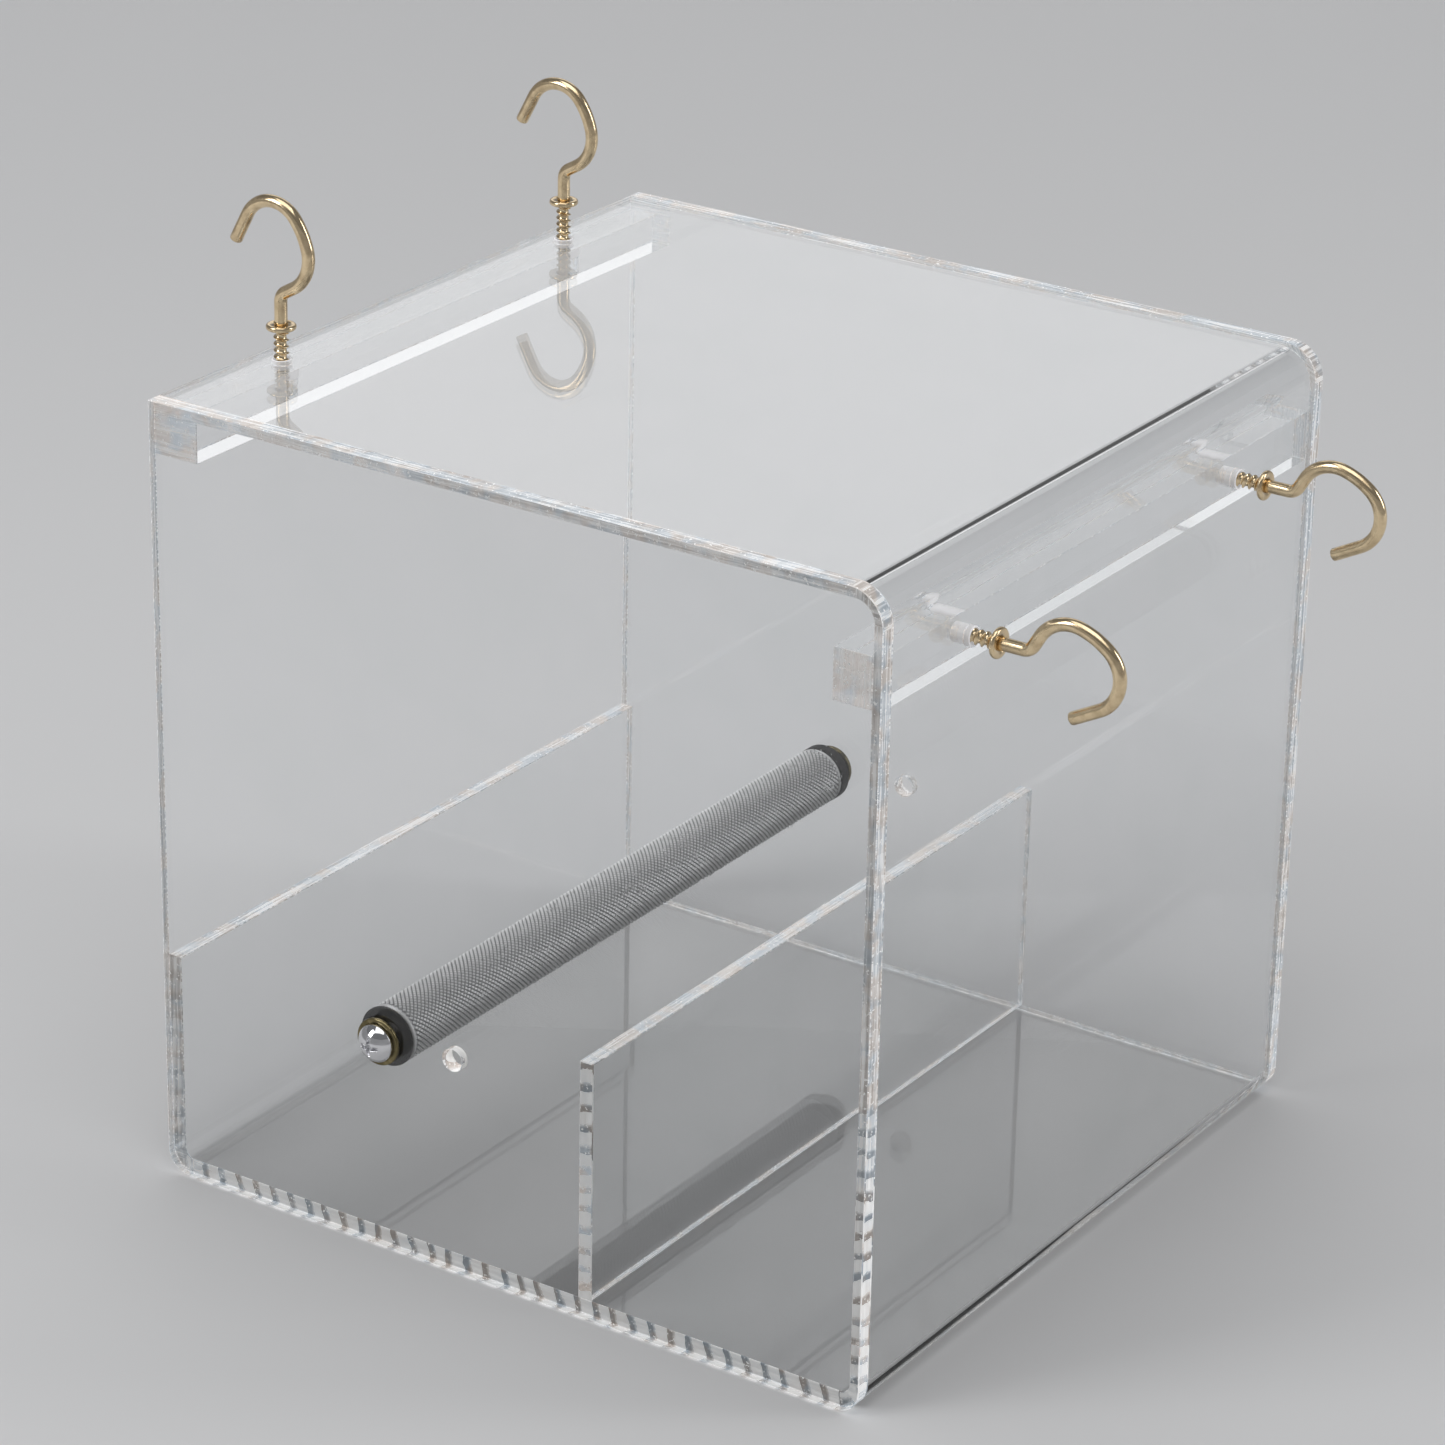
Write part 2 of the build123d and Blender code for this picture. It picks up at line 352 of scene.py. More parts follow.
def knurled():
    """Aluminium knurl: bright worn flats, and painted shade that darkens the base colour down into
    the grooves.
    """
    material, tree, surface, _ = shader("knurled_metal")
    where = place(tree)
    surface.inputs["Metallic"].default_value = 0.30
    off_axis = add(tree, "VectorMath", operation="SUBTRACT")
    off_axis.inputs[1].default_value = (PERCH.x, 0.0, PERCH.z)
    wire(tree, where, off_axis.inputs[0])
    across = add(tree, "VectorMath", operation="MULTIPLY")
    across.inputs[1].default_value = (1.0, 0.0, 1.0)
    wire(tree, off_axis.outputs[0], across.inputs[0])
    reach = add(tree, "VectorMath", operation="LENGTH")
    wire(tree, across.outputs[0], reach.inputs[0])
    # Painted shade: the base colour darkens with depth into the knurl grooves; the noise laid over
    # it is the metal's own wear
    height = ramp(tree, reach.outputs["Value"],
                  (PERCH_R - 0.9 * KNURL_DEEP) * MM, (PERCH_R - 0.02) * MM)
    wear = ramp(tree, noise(tree, where, 330.0, 4.0), 0.35, 0.65, 0.86, 1.0)
    painted_shade_and_wear = maths(tree, "MULTIPLY", height, wear)
    wire(tree, blend_colour(tree, painted_shade_and_wear, (0.31, 0.31, 0.32), (0.98, 0.98, 0.985)),
         surface.inputs["Base Color"])
    wire(tree, ramp(tree, painted_shade_and_wear, 0.0, 1.0, 0.55, 0.30), surface.inputs["Roughness"])
    bump(tree, surface, noise(tree, where, 2600.0, 3.0), 0.012 * MM, 0.5)
    return material


def washer_metal():
    """Brass under dark lacquer that has rubbed off in patches."""
    material, tree, surface, _ = shader("washer_brass")
    where = place(tree)
    surface.inputs["Metallic"].default_value = 1.0
    rubbed = ramp(tree, noise(tree, where, 500.0, 5.0, 0.6), 0.45, 0.7)
    wire(tree, blend_colour(tree, rubbed, (0.15, 0.125, 0.065), (0.34, 0.28, 0.15)),
         surface.inputs["Base Color"])
    wire(tree, ramp(tree, rubbed, 0.0, 1.0, 0.16, 0.30), surface.inputs["Roughness"])
    bump(tree, surface, noise(tree, where, 1200.0, 3.0), 0.015 * MM, 0.4)
    return material


def rubber():
    """Matt black rubber with a faint grey bloom."""
    material, tree, surface, _ = shader("pad_rubber")
    where = place(tree)
    bloom = noise(tree, where, 600.0, 5.0)
    wire(tree, blend_colour(tree, bloom, (0.004, 0.004, 0.004), (0.014, 0.014, 0.015)),
         surface.inputs["Base Color"])
    wire(tree, ramp(tree, bloom, 0.3, 0.7, 0.45, 0.7), surface.inputs["Roughness"])
    surface.inputs["Specular IOR Level"].default_value = 0.25
    bump(tree, surface, noise(tree, where, 1800.0, 2.0), 0.02 * MM, 0.2)
    return material


def nylon():
    """Milky white plastic that lets a little light through, with a painted glow from its emission.
    """
    material, tree, surface, _ = shader("bush_nylon")
    where = place(tree)
    milk = noise(tree, where, 700.0, 4.0)
    wire(tree, blend_colour(tree, milk, (0.97, 0.96, 0.97), (0.86, 0.85, 0.88)),
         surface.inputs["Base Color"])
    wire(tree, ramp(tree, milk, 0.3, 0.7, 0.25, 0.5), surface.inputs["Roughness"])
    surface.inputs["Subsurface Weight"].default_value = 0.15
    surface.inputs["Subsurface Radius"].default_value = (1.0, 1.0, 1.0)
    surface.inputs["Subsurface Scale"].default_value = 0.3 * MM
    # Painted glow: emission that makes the bush brighter than its lighting
    surface.inputs["Emission Color"].default_value = (1.0, 0.99, 1.0, 1.0)
    surface.inputs["Emission Strength"].default_value = BUSH_PAINTED_GLOW
    bump(tree, surface, noise(tree, where, 1800.0, 3.0), 0.04 * MM, 0.6)
    return material


def studio_floor():
    """Plain pale paper."""
    material, tree, surface, _ = shader("studio_floor")
    where = place(tree)
    shade = noise(tree, where, 3.0, 2.0)
    wire(tree, blend_colour(tree, shade, (0.70, 0.70, 0.705), (0.73, 0.73, 0.735)),
         surface.inputs["Base Color"])
    surface.inputs["Roughness"].default_value = 0.9
    surface.inputs["Specular IOR Level"].default_value = 0.2
    return material


# ---------------------------------------------------------------- mesh tools

def piece(name, mesh, materials, body, slot, *replaced):
    """A finished object that stands for CAD nodes and rides on their body."""
    thing = bpy.data.objects.new(name, mesh)
    bpy.context.scene.collection.objects.link(thing)
    for material in materials:
        mesh.materials.append(material)
    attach(thing, body)
    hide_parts(*replaced)
    return thing


def as_mesh(name, work, smooth=True):
    """Mesh data from a bmesh, which is freed."""
    mesh = bpy.data.meshes.new(name)
    work.to_mesh(mesh)
    work.free()
    mesh.polygons.foreach_set("use_smooth", [smooth] * len(mesh.polygons))
    return mesh


def applied(thing):
    """Bakes an object's modifiers into its mesh."""
    graph = bpy.context.evaluated_depsgraph_get()
    mesh = bpy.data.meshes.new_from_object(thing.evaluated_get(graph))
    thing.modifiers.clear()
    thing.data = mesh


def arc(centre, radius, start, end, steps=BEND_STEPS):
    """Points on a circle in the XZ plane, angles in degrees from +X towards +Z."""
    for i in range(steps + 1):
        angle = math.radians(start + (end - start) * i / steps)
        yield (centre[0] + radius * math.cos(angle), centre[1] + radius * math.sin(angle))


def rounded(lo, hi, low_r, top_r):
    """Box outline in XZ with three rounded corners and a square one at top left."""
    points = [(lo.x, hi.z)]
    points += arc((lo.x + low_r, lo.z + low_r), low_r, 180, 270)
    points += arc((hi.x - low_r, lo.z + low_r), low_r, 270, 360)
    points += arc((hi.x - top_r, hi.z - top_r), top_r, 0, 90)
    return points


def ring_at(work, radius, height, sides):
    """Vertices on a circle about local Z."""
    turns = [2 * math.pi * i / sides for i in range(sides)]
    return [work.verts.new((radius * math.cos(a), radius * math.sin(a), height)) for a in turns]


def band(work, one, two):
    """Faces between two rings of the same number of vertices."""
    for i in range(len(one)):
        j = (i + 1) % len(one)
        work.faces.new((one[i], one[j], two[j], two[i]))


def prism(outline, y0, y1):
    """Solid between two copies of an XZ outline."""
    work = bmesh.new()
    near = [work.verts.new((x, y0, z)) for x, z in outline]
    far = [work.verts.new((x, y1, z)) for x, z in outline]
    work.faces.new(near)
    work.faces.new(far[::-1])
    for i in range(len(outline)):
        j = (i + 1) % len(outline)
        work.faces.new((near[j], near[i], far[i], far[j]))
    bmesh.ops.recalc_face_normals(work, faces=work.faces)
    return work


def strip(outer, inner, y0, y1):
    """Bent sheet between two XZ outlines that run side by side."""
    work = bmesh.new()
    near_out, near_in, far_out, far_in = [
        [work.verts.new((x, y, z)) for x, z in line] for y in (y0, y1) for line in (outer, inner)]
    around = (near_out, near_in, far_in, far_out, near_out)
    for one, two in zip(around, around[1:]):
        for i in range(len(outer) - 1):
            work.faces.new((one[i], one[i + 1], two[i + 1], two[i]))
    for end in (0, -1):
        work.faces.new((near_out[end], near_in[end], far_in[end], far_out[end]))
    bmesh.ops.recalc_face_normals(work, faces=work.faces)
    return work


def cleaned(mesh):
    """Merges the points that the cuts leave on top of one another."""
    work = bmesh.new()
    work.from_mesh(mesh)
    bmesh.ops.remove_doubles(work, verts=work.verts, dist=0.002 * MM)
    bmesh.ops.dissolve_degenerate(work, dist=0.002 * MM, edges=work.edges)
    work.to_mesh(mesh)
    work.free()


def sheet_piece(node, work, is_edge, cutters=(), bent=False):
    """An acrylic piece: bored, its cut edges broken, its normals true to its flat faces.

    is_edge says from a face's middle and normal whether it is a cut edge, and the edge's
    material follows the axis along which the face is longest.
    """
    work.faces.ensure_lookup_table()
    for face in work.faces:
        if is_edge(face.calc_center_median(), face.normal):
            spans = [max(c) - min(c) for c in zip(*(v.co for v in face.verts))]
            face.material_index = 1 + spans.index(max(spans))
    name = node + "_gls"
    thing = piece(name, as_mesh(name, work, smooth=bent), ACRYLIC, "box", "acrylic", node)
    for cutter in cutters:
        hole = thing.modifiers.new("bore", "BOOLEAN")
        hole.operation, hole.solver, hole.object = "DIFFERENCE", "EXACT", cutter
        hole.material_mode = "INDEX"
    rim = thing.modifiers.new("break", "BEVEL")
    rim.width, rim.segments, rim.material = EDGE_BREAK, 2, 1
    rim.limit_method, rim.angle_limit = "ANGLE", math.radians(40)
    if bent:
        true = thing.modifiers.new("normals", "WEIGHTED_NORMAL")
        true.weight, true.keep_sharp = 100, False
    applied(thing)
    if not bent:
        thing.data.polygons.foreach_set("use_smooth", [False] * len(thing.data.polygons))
        cleaned(thing.data)
    for cutter in cutters:
        bpy.data.objects.remove(cutter)


def lathe(profile, sides=64, closed=True):
    """Turned solid about local Z from (radius, height) points; a radius of 0 is one point."""
    work = bmesh.new()
    rings = [ring_at(work, radius, height, sides if radius else 1) for radius, height in profile]
    pairs = list(zip(rings, rings[1:]))
    if closed:
        pairs.append((rings[-1], rings[0]))
    for one, two in pairs:
        for i in range(sides):
            j = (i + 1) % sides
            loop = [one[i % len(one)], one[j % len(one)], two[j % len(two)], two[i % len(two)]]
            work.faces.new(list(dict.fromkeys(loop)))
    bmesh.ops.recalc_face_normals(work, faces=work.faces)
    return work


def soft_ring(outer, inner, low, high, radius):
    """Profile of a ring with rounded outer edges."""
    points = [(inner, low)]
    for centre_z, start, end in ((low + radius, -90, 0), (high - radius, 0, 90)):
        points += arc((outer - radius, centre_z), radius, start, end, 6)
    return points + [(inner, high)]


def bore_cutter(at, way, *steps):
    """Cutter for a round stepped bore that starts 1 mm before a point.

    Each step is a radius and how far past the point it reaches, in mm.
    """
    depth = -1.0
    profile = [(0.0, depth)]
    for radius, reach in steps:
        profile += [(radius, depth), (radius, reach)]
        depth = reach
    work = lathe(profile + [(0.0, depth)], closed=False)
    for face in work.faces:
        face.material_index = 1
    turn = way.to_track_quat("Z", "Y").to_matrix().to_4x4()
    work.transform(Matrix.Translation(at) @ turn @ Matrix.Scale(MM, 4))
    thing = bpy.data.objects.new("cut", as_mesh("cut", work))
    bpy.context.scene.collection.objects.link(thing)
    for material in ACRYLIC:
        thing.data.materials.append(material)
    return thing


# ---------------------------------------------------------------- acrylic box

def into_box(hook):
    """The point and direction in which a hook's thread enters the box."""
    _, hi, mid = box_of("hook_bush_" + hook)
    if hook.startswith("top"):
        return Vector((mid.x, mid.y, hi.z)), Vector((0, 0, -1))
    return Vector((hi.x, mid.y, mid.z)), Vector((-1, 0, 0))


def bores(face, *steps):
    """Cutters for the two hooks of one face."""
    return [bore_cutter(*into_box(f"{face}_{side}"), *steps) for side in ("near", "far")]


def bent_shell():
    """Top, hook wall, floor and low lip, bent from one sheet."""
    lo, hi, _ = box_of("bent_shell")
    t = SHEET_T
    inset = Vector((t, 0, t))
    outer = rounded(lo, hi, FLOOR_BEND_IN + t, TOP_BEND_IN + t)[1:]
    inner = rounded(lo + inset, hi - inset, FLOOR_BEND_IN, TOP_BEND_IN)[1:]
    outer = [(lo.x, LIP_TOP)] + outer + [(lo.x, hi.z)]
    inner = [(lo.x + t, LIP_TOP)] + inner + [(lo.x, hi.z - t)]
    work = strip(outer, inner, lo.y + BOND_GAP, hi.y - BOND_GAP)

    def is_edge(at, normal):
        on_lip = normal.z > 0.9 and at.x < lo.x + t and at.z < hi.z / 2
        on_entrance = normal.x < -0.9 and at.z > hi.z - t
        return abs(normal.y) > 0.9 or on_lip or on_entrance

    through = (BUSH_R, THROUGH_SHEET)
    cutters = bores("top", through) + bores("wall", through)
    sheet_piece("bent_shell", work, is_edge, cutters, bent=True)


def side_panel(side):
    """Flat end of the box, with the perch's hole and the spare one."""
    name = side + "_side_panel"
    lo, hi, _ = box_of(name)
    outline = rounded(lo, hi, FLOOR_BEND_IN + SHEET_T, TOP_BEND_IN + SHEET_T)
    work = prism(outline, lo.y, hi.y)
    spare = PERCH + Vector((SPARE_HOLE_AHEAD, 0, SPARE_HOLE_ABOVE))
    cutters = []
    for hole in (PERCH, spare):
        at = Vector((hole.x, lo.y, hole.z))
        cutters.append(bore_cutter(at, Vector((0, 1, 0)), (PANEL_HOLE_R, THROUGH_SHEET)))
    sheet_piece(name, work, lambda at, normal: abs(normal.y) < 0.9, cutters)


def divider():
    """Low wall across the floor."""
    lo, hi, _ = box_of("divider")
    outline = [(lo.x, lo.z + BOND_GAP), (hi.x, lo.z + BOND_GAP), (hi.x, hi.z), (lo.x, hi.z)]
    work = prism(outline, lo.y + BOND_GAP, hi.y - BOND_GAP)
    sheet_piece("divider", work, lambda at, normal: abs(normal.x) < 0.9)


def hook_bar(face):
    """Square bar that takes two hooks, glued under the top or inside the hook wall."""
    name = face + "_hook_bar"
    lo, hi, _ = box_of(name)
    lift = Vector((0, 0, BOND_GAP)) if face == "top" else Vector((BOND_GAP, 0, 0))
    hi = hi - lift
    outline = [(lo.x, lo.z), (hi.x, lo.z), (hi.x, hi.z), (lo.x, hi.z)]
    work = prism(outline, lo.y + BOND_GAP, hi.y - BOND_GAP)
    cutters = bores(face, (BUSH_R, BUSH_LEN[face]), (THREAD_BORE_R, BORE_LEN[face]))
    sheet_piece(name, work, lambda at, normal: abs(normal.y) > 0.9, cutters)


# ---------------------------------------------------------------- hooks

def hook_line():
    """Centre line of the wire from the collar underside, with each point's heading, in mm."""
    at, heading = Vector((0, 0)), 0.0
    points = [(at.copy(), heading)]

    def ahead(length, parts=4):
        nonlocal at
        for _ in range(parts):
            at = at + Vector((math.sin(heading), math.cos(heading))) * (length / parts)
            points.append((at.copy(), heading))

    def turn(radius, degrees):
        nonlocal at, heading
        parts = max(6, int(abs(degrees) / 4))
        step = math.radians(degrees) / parts
        chord = 2 * radius * math.sin(abs(step) / 2)
        for _ in range(parts):
            heading += step / 2
            at = at + Vector((math.sin(heading), math.cos(heading))) * chord
            heading += step / 2
            points.append((at.copy(), heading))

    for radius, amount in HOOK_RUNS:
        if radius:
            turn(radius, amount)
        else:
            ahead(amount)
    return points


def hook_wire(sides=28):
    """Bent wire with a sheared, slightly rounded free end, in mm."""
    work = bmesh.new()
    rings = []
    line = hook_line()
    last, heading = line[-1]
    forward = Vector((math.sin(heading), math.cos(heading)))
    stations = [(at, turn, WIRE_R) for at, turn in line[:-1]]
    for back, share in ((0.25, 1.0), (0.06, 0.95), (0.0, 0.78)):
        stations.append((last - forward * back, heading, share * WIRE_R))
    for at, turn, radius in stations:
        across, up = Vector((math.cos(turn), 0, -math.sin(turn))), Vector((0, 1, 0))
        centre = Vector((at.x, 0, at.y))
        ring = []
        for i in range(sides):
            a = 2 * math.pi * i / sides
            ring.append(work.verts.new(centre + radius * (math.cos(a) * across + math.sin(a) * up)))
        rings.append(ring)
    for one, two in zip(rings, rings[1:]):
        band(work, one, two)
    work.faces.new(rings[0])
    work.faces.new(rings[-1][::-1])
    bmesh.ops.recalc_face_normals(work, faces=work.faces)
    return work


def hook_thread(work, sides=24):
    """A true single-start helix below the collar, tapering to a point, added in mm."""
    turns = int(THREAD_LEN / THREAD_PITCH) + 2
    rows = []
    for turn in range(turns):
        for share, lift in THREAD_SHAPE:
            row = []
            for i in range(sides + 1):
                raw = -(turn + share + i / sides - 1) * THREAD_PITCH
                z = max(min(raw, 0.0), -THREAD_LEN)
                left = (THREAD_LEN + z) / (3 * THREAD_PITCH)
                point = min(1.0, left) ** 0.7
                rise = (THREAD_CREST_R - THREAD_ROOT_R) * (lift if raw <= 0 else 0.0)
                radius = (THREAD_ROOT_R + rise) * max(point, 0.03)
                a = 2 * math.pi * i / sides
                row.append(work.verts.new((radius * math.cos(a), radius * math.sin(a), z)))
            rows.append(row)
    for one, two in zip(rows, rows[1:]):
        for i in range(sides):
            work.faces.new((one[i], two[i], two[i + 1], one[i + 1]))
    bmesh.ops.remove_doubles(work, verts=work.verts, dist=THREAD_WELD)
    bmesh.ops.dissolve_degenerate(work, dist=THREAD_WELD, edges=work.edges)
    flaps = [face for face in work.faces if any(edge.is_boundary for edge in face.edges)
             and any(len(edge.link_faces) > 2 for edge in face.edges)]
    bmesh.ops.delete(work, geom=flaps, context="FACES")
    rims = [edge for edge in work.edges if edge.is_boundary]
    bmesh.ops.holes_fill(work, edges=rims, sides=0)
    bmesh.ops.recalc_face_normals(work, faces=work.faces)


def hook_seat(hook):
    """Matrix from hook coordinates in mm to the box, standing on the collar's underside."""
    lo, _, mid = box_of("hook_collar_" + hook)
    if hook.startswith("top"):
        return Matrix.Translation((mid.x, mid.y, lo.z)) @ Matrix.Scale(MM, 4)
    turn = Matrix(((0, 0, 1), (0, -1, 0), (1, 0, 0))).to_4x4()
    return Matrix.Translation((lo.x, mid.y, mid.z)) @ turn @ Matrix.Scale(MM, 4)


def cup_hook(hook):
    """One hook: its threaded wire, its collar and the bush that it turns in."""
    seat = hook_seat(hook)
    work = hook_wire()
    hook_thread(work)
    work.transform(seat)
    body = "hook_" + hook
    piece(f"cup_hook_{hook}_wire", as_mesh("wire", work), (BRASS,), body, "brass",
          "cup_hook_" + hook)
    collar = lathe(soft_ring(COLLAR_R, WIRE_R, 0.0, COLLAR_T, COLLAR_ROUND))
    collar.transform(seat)
    piece(f"collar_{hook}", as_mesh("collar", collar), (BRASS,), body, "brass",
          "hook_collar_" + hook)
    at, way = into_box(hook)
    length = BUSH_LEN[hook.split("_")[0]]
    sleeve = lathe(soft_ring(BUSH_R + 0.02, THREAD_BORE_R, 0.0, length + 0.02, 0.1), 48)
    turn = way.to_track_quat("Z", "Y").to_matrix().to_4x4()
    sleeve.transform(Matrix.Translation(at) @ turn @ Matrix.Scale(MM, 4))
    piece(f"bush_{hook}", as_mesh("bush", sleeve), (NYLON,), "box", "white_bush",
          "hook_bush_" + hook)


# ---------------------------------------------------------------- perch

def perch_matrix(side, distance):
    """Matrix from mm along the perch's axis to the box; side is -1 near and 1 far."""
    turn = Matrix(((side, 0, 0), (0, 0, side), (0, -1, 0))).to_4x4()
    at = Vector((PERCH.x, side * distance * MM, PERCH.z))
    return Matrix.Translation(at) @ turn @ Matrix.Scale(MM, 4)


def knurled_rod():
    """Rod with a diamond knurl of blunt pyramids, plain chamfered ends and tapped holes."""
    lo, hi, mid = box_of("perch_rod")
    half = (hi.y - lo.y) / 2 / MM
    steps = 2 * KNURL_AROUND
    rows = int(2 * (half - PLAIN_END) / (KNURL_PITCH / 2))
    start = -rows * KNURL_PITCH / 4
    deep = PERCH_R - KNURL_DEEP
    work = bmesh.new()

    def point(step, row, radius):
        angle = 2 * math.pi * step / steps
        along = start + row * KNURL_PITCH / 2
        return work.verts.new((radius * math.cos(angle), radius * math.sin(angle), along))

    valley = {}
    for row in range(rows + 1):
        for step in range((row + 1) % 2, steps, 2):
            valley[step, row] = point(step, row, deep)
    for row in range(1, rows):
        for step in range(row % 2, steps, 2):
            ways = ((0, -1), (1, 0), (0, 1), (-1, 0))
            base = [valley[(step + i) % steps, row + j] for i, j in ways]
            top = [point(step + i * KNURL_FLAT, row + j * KNURL_FLAT, PERCH_R) for i, j in ways]
            work.faces.new(top)
            band(work, base, top)

    for end, row in ((-1, 0), (1, rows)):
        beside = row - end
        ring = [valley[i, row if (i + row) % 2 else beside] for i in range(steps)]
        profile = ((half - PLAIN_END + 0.1, PERCH_R - 0.05), (half - 0.5, PERCH_R - 0.05),
                   (half, PERCH_R - 0.5), (half, TAPPED_R + 0.3), (half - 0.3, TAPPED_R),
                   (half - TAPPED_DEEP, TAPPED_R))
        for height, radius in profile:
            next_ring = ring_at(work, radius, end * height, steps)
            band(work, ring, next_ring)
            ring = next_ring
        work.faces.new(ring)
    bmesh.ops.recalc_face_normals(work, faces=work.faces)
    work.transform(perch_matrix(1, mid.y / MM))
    piece("perch_knurled", as_mesh("perch", work, smooth=False), (KNURL,), "perch",
          "knurled_rod", "perch_rod")


def screw_head(sides=128, rings=44):
    """Domed head with a tapered cross recess, and its shank, in mm."""
    dome_r = (HEAD_R**2 + HEAD_DOME**2) / (2 * HEAD_DOME)
    work = bmesh.new()
    rows = []

    def height(x, y):
        r = math.hypot(x, y)
        top = HEAD_EDGE + HEAD_DOME - dome_r + math.sqrt(dome_r**2 - min(r, HEAD_R) ** 2)
        long, short = max(abs(x), abs(y)), min(abs(x), abs(y))
        half = CROSS_HALF - 0.10 * long
        in_slot = max(0.0, min(1.0, (half - short) / 0.16))
        in_reach = max(0.0, min(1.0, (CROSS_REACH - long) / 0.2))
        return top - CROSS_DEEP * (in_slot * in_reach) * (1 - 0.25 * long)

    for k in range(1, rings + 1):
        r = HEAD_R * (k / rings) - (0.03 if k == rings else 0)
        row = []
        for i in range(sides):
            a = 2 * math.pi * i / sides
            x, y = r * math.cos(a), r * math.sin(a)
            row.append(work.verts.new((x, y, height(x, y))))
        rows.append(row)
    below = ((HEAD_R, HEAD_EDGE - 0.05), (HEAD_R, 0.12), (HEAD_R - 0.12, 0.0), (SCREW_R, 0.0),
             (SCREW_R, 0.4 - SCREW_LEN), (SCREW_R - 0.4, -SCREW_LEN))
    rows += [ring_at(work, r, z, sides) for r, z in below]
    centre = work.verts.new((0, 0, height(0, 0)))
    for i in range(sides):
        work.faces.new((centre, rows[0][i], rows[0][(i + 1) % sides]))
    for one, two in zip(rows, rows[1:]):
        band(work, one, two)
    work.faces.new(rows[-1])
    bmesh.ops.recalc_face_normals(work, faces=work.faces)
    return work


def perch_end(name, side):
    """Rubber pad, washer and screw at one end of the perch."""
    pad_lo, pad_hi, _ = box_of("perch_pad_" + name)
    washer_lo, washer_hi, _ = box_of("screw_washer_" + name)
    pad_at = min(abs(pad_lo.y), abs(pad_hi.y)) / MM
    washer_at = min(abs(washer_lo.y), abs(washer_hi.y)) / MM
    head_at = max(abs(washer_lo.y), abs(washer_hi.y)) / MM
    thick = (pad_hi.y - pad_lo.y) / MM
    pad = lathe(soft_ring(PAD_R, PAD_HOLE_R, 0.0, thick, 0.25), 96)
    pad.transform(perch_matrix(side, pad_at))
    piece("pad_" + name, as_mesh("pad", pad), (RUBBER,), "perch", "rubber_pad",
          "perch_pad_" + name)
    washer = lathe(soft_ring(WASHER_R, WASHER_HOLE_R, 0.0, WASHER_T, 0.3), 96)
    washer.transform(perch_matrix(side, washer_at))
    piece("washer_" + name, as_mesh("washer", washer), (WASHER,), "perch", "brass",
          "screw_washer_" + name)
    screw = screw_head()
    screw.transform(perch_matrix(side, head_at))
    piece("screw_" + name, as_mesh("screw", screw), (CHROME,), "perch", "chrome_screw",
          "perch_screw_" + name)


# ---------------------------------------------------------------- stage

def studio():
    """Pale round floor that curves up into a low wall, far from the object."""
    profile = [(0.0, 0.0), (0.6, 0.0)]
    profile += arc((FLOOR_FLAT, FLOOR_CURVE), FLOOR_CURVE, -90, 0, 12)
    profile.append((FLOOR_FLAT + FLOOR_CURVE, FLOOR_CURVE + WALL_HIGH))
    mesh = as_mesh("studio_floor", lathe(profile, 96, closed=False))
    mesh.flip_normals()
    floor = bpy.data.objects.new("studio_floor", mesh)
    floor.location.z = cad_lo.z - FLOOR_GAP
    bpy.context.scene.collection.objects.link(floor)
    mesh.materials.append(studio_floor())


def direction(azimuth, elevation):
    """Unit vector out from the box, in degrees; azimuth 0 is towards -Y and 90 towards +X."""
    a, e = math.radians(azimuth), math.radians(elevation)
    return Vector((math.sin(a) * math.cos(e), -math.cos(a) * math.cos(e), math.sin(e)))


def softbox(name, azimuth, elevation, distance, width, height, power):
    """Area light aimed at the middle of the box, in metres and watts."""
    way = direction(azimuth, elevation)
    data = bpy.data.lights.new(name, "AREA")
    data.shape, data.size, data.size_y, data.energy = "RECTANGLE", width, height, power
    lamp = bpy.data.objects.new(name, data)
    lamp.location = way * distance + Vector((0, 0, AIM_HEIGHT))
    lamp.rotation_mode = "QUATERNION"
    lamp.rotation_quaternion = way.to_track_quat("Z", "Y")
    bpy.context.scene.collection.objects.link(lamp)


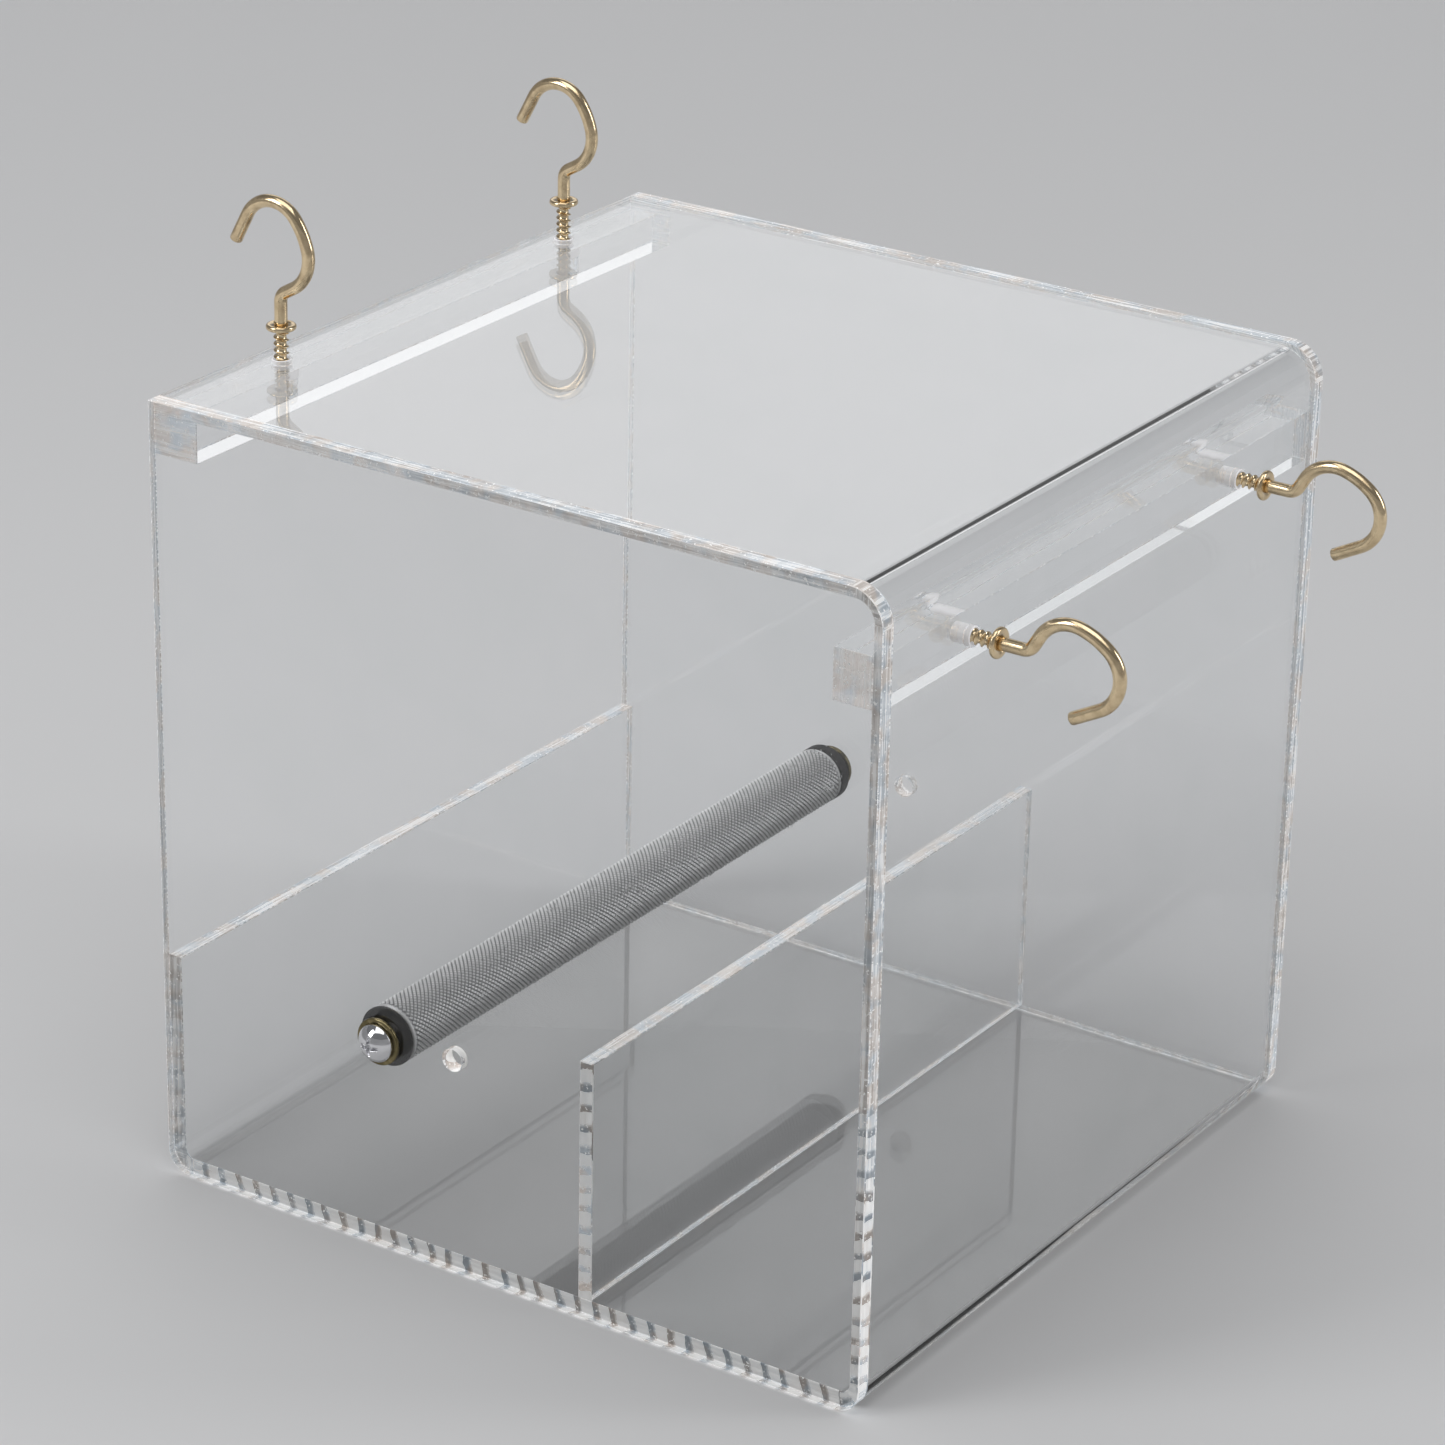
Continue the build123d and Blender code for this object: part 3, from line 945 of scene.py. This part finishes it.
def lights():
    """Dim air, a wide soft light above and three softboxes round the box."""
    world = bpy.data.worlds.new("studio_air")
    world.use_nodes = True
    air = world.node_tree.nodes["Background"]
    air.inputs["Color"].default_value = (0.9, 0.92, 0.95, 1.0)
    air.inputs["Strength"].default_value = AIR_STRENGTH
    bpy.context.scene.world = world
    softbox("overhead", 20, 80, 2.6, 2.2, 2.2, 25)
    softbox("back_window", 213, 30, 1.6, 1.1, 0.7, 1.7)
    softbox("key_left", -35, 38, 1.5, 0.5, 0.8, 7)
    softbox("rim_right", 120, 25, 1.5, 0.3, 0.9, 4.5)


def camera():
    """The photo's viewpoint, from a camera fit to the box's straight edges."""
    back = direction(CAMERA_AZIMUTH, CAMERA_ELEVATION)
    data = bpy.data.cameras.new("camera")
    data.lens, data.sensor_width = CAMERA_LENS, 36.0
    eye = bpy.data.objects.new("camera", data)
    eye.location = CAMERA_AT
    eye.rotation_mode = "QUATERNION"
    roll = Quaternion((0, 0, 1), math.radians(CAMERA_ROLL))
    eye.rotation_quaternion = back.to_track_quat("Z", "Y") @ roll
    bpy.context.scene.collection.objects.link(eye)
    bpy.context.scene.camera = eye


def look():
    """Plain colours, and enough bounces for the many clear faces one behind another."""
    scene = bpy.context.scene
    scene.view_settings.view_transform = "Standard"
    scene.cycles.max_bounces = 24
    scene.cycles.transmission_bounces = 24
    scene.cycles.glossy_bounces = 12
    scene.cycles.transparent_max_bounces = 48
    scene.cycles.caustics_reflective = False
    scene.cycles.caustics_refractive = False
    scene.cycles.sample_clamp_indirect = 2.0


# ---------------------------------------------------------------- the scene

# Slot 0 is the polished face, and slots 1 to 3 are edges that run along X, Y and Z
ACRYLIC = (acrylic_face(), acrylic_edge("X", 1.0), acrylic_edge("Y", 0.25), acrylic_edge("Z", 1.0))
BRASS, WASHER, KNURL = brass(), washer_metal(), knurled()
CHROME = steel("chrome_plate", (0.80, 0.80, 0.82), 0.04, 0.12, 300.0)
RUBBER, NYLON = rubber(), nylon()

camera()
look()
bent_shell()
side_panel("near")
side_panel("far")
divider()
hook_bar("top")
hook_bar("wall")
for hook_name in ("top_near", "top_far", "wall_near", "wall_far"):
    cup_hook(hook_name)
knurled_rod()
perch_end("near", -1)
perch_end("far", 1)
studio()
lights()

bpy.context.view_layer.update()
